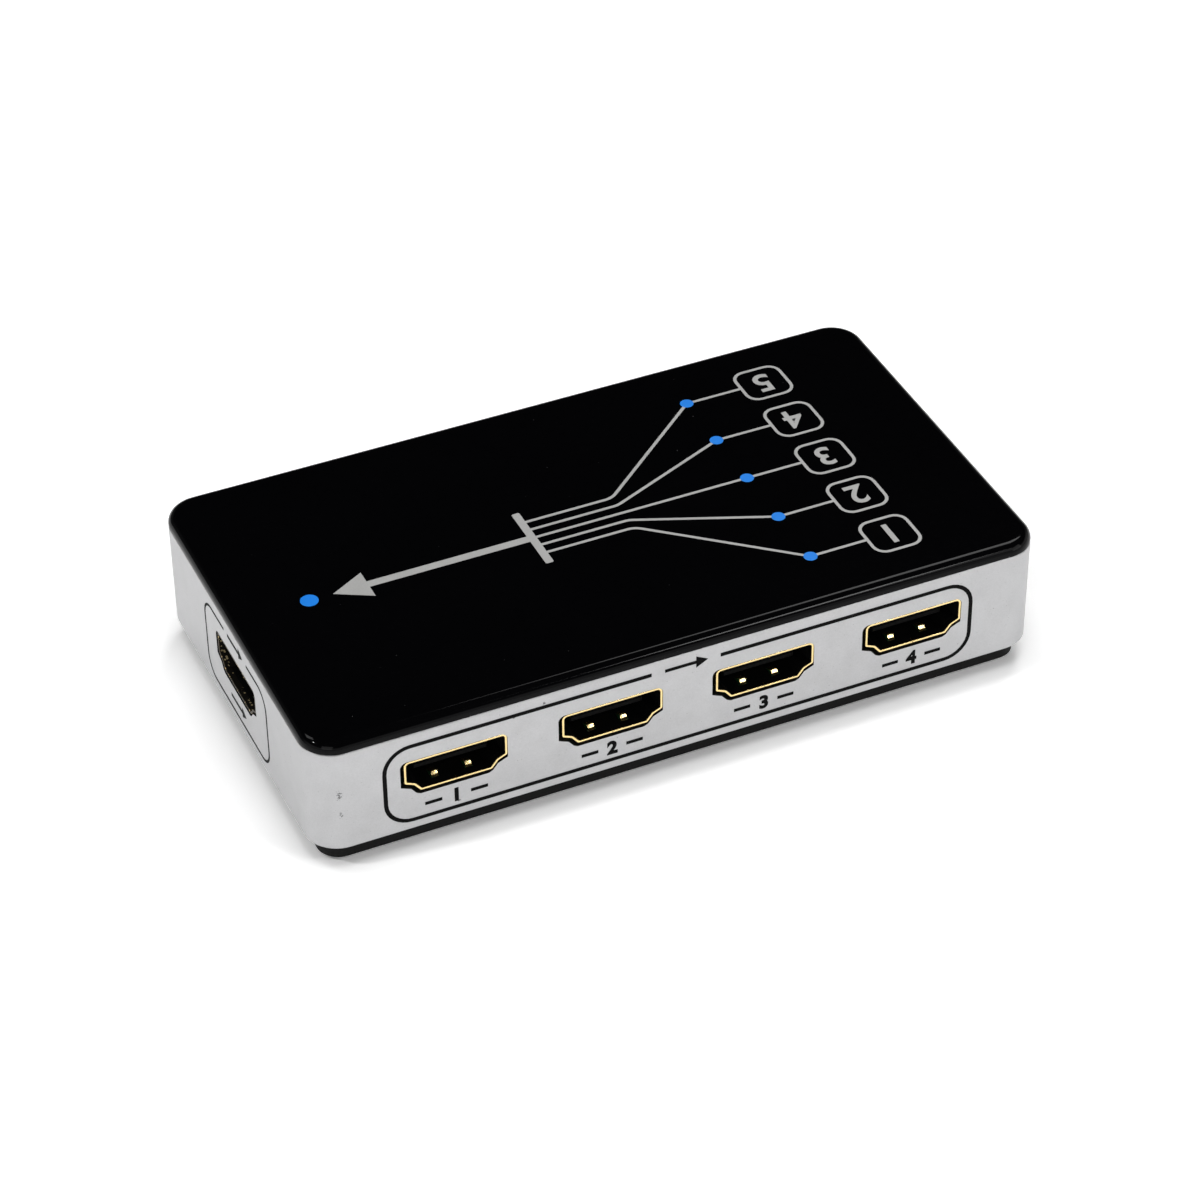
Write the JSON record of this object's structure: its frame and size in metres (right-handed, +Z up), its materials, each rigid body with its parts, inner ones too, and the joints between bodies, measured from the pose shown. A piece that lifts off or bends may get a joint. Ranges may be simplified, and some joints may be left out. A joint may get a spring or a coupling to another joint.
{
  "type": "video switch box",
  "caption": "Flat rounded video switch box with a gloss black cover, a silver side band with D-shaped sockets, a select button and channel lamps.",
  "frame": {"origin": "on the floor under the middle of the case, between the feet", "axes": "+X along the long side, to the right as seen from the four-socket side; +Y towards the side with the button and lamps; +Z up"},
  "size_m": [0.11, 0.0613, 0.022],
  "materials": {
    "cover_gloss_black": "high-gloss black moulding",
    "band_silver": "satin silver paint on moulded plastic",
    "base_black": "fine spark-eroded texture",
    "foot_rubber": "plain moulded rubber",
    "screw_steel": "black-zinc steel",
    "shell_gold": "gold plating on stamped sheet",
    "insulator_black": "glass-filled moulding",
    "contact_gold": "gold plating",
    "jack_black": "satin moulding",
    "jack_metal": "nickel-plated brass",
    "button_black": "polished moulding",
    "switch_plastic": "satin moulding",
    "switch_steel": "tinned steel",
    "window_smoke": "smoked deep-red acrylic",
    "receiver_epoxy": "black epoxy",
    "lamp_blue": "tinted clear epoxy",
    "lamp_red": "tinted clear epoxy",
    "lead_tin": "tinned wire",
    "board_green": "solder mask on glass-fibre sheet",
    "chip_black": "moulded epoxy",
    "crystal_steel": "drawn steel can",
    "capacitor_can": "drawn aluminium can",
    "ceramic_tan": "fired ceramic",
    "ferrite_grey": "sintered ferrite"
  },
  "bodies": {
    "case": {"top_cover": "cover_gloss_black", "side_band": "band_silver", "base_tray": "base_black", "rubber_feet": "foot_rubber", "case_screws": "screw_steel", "circuit_board": "board_green", "jack_housing": "jack_black", "jack_centre_pin": "jack_metal", "jack_spring_contact": "jack_metal", "switch_housing": "switch_plastic", "switch_bracket": "switch_steel", "infrared_window": "window_smoke", "infrared_receiver": "receiver_epoxy", "infrared_receiver_pins": "lead_tin", "channel_lamps": "lamp_blue", "power_lamp": "lamp_red", "lamp_leads": "lead_tin", "switch_chip": "chip_black", "switch_chip_leads": "lead_tin", "controller_chip": "chip_black", "controller_chip_leads": "lead_tin", "regulator": "chip_black", "regulator_leads": "lead_tin", "crystal": "crystal_steel", "capacitor_cans": "capacitor_can", "capacitor_bases": "chip_black", "power_coil": "ferrite_grey", "protection_parts": "ceramic_tan", "input_1_shell": "shell_gold", "input_1_insulator": "insulator_black", "input_1_contacts": "contact_gold", "input_2_shell": "shell_gold", "input_2_insulator": "insulator_black", "input_2_contacts": "contact_gold", "input_3_shell": "shell_gold", "input_3_insulator": "insulator_black", "input_3_contacts": "contact_gold", "input_4_shell": "shell_gold", "input_4_insulator": "insulator_black", "input_4_contacts": "contact_gold", "input_5_shell": "shell_gold", "input_5_insulator": "insulator_black", "input_5_contacts": "contact_gold", "output_shell": "shell_gold", "output_insulator": "insulator_black", "output_contacts": "contact_gold"},
    "select_button": {"select_button_cap": "button_black", "switch_plunger": "switch_plastic"}
  },
  "joints": [
    {"name": "select_button_press", "type": "slide", "parent": "case", "child": "select_button", "axis": [0, -1, 0], "range_m": [0, 0.0003], "stiffness_N_per_m": 3000}
  ]
}
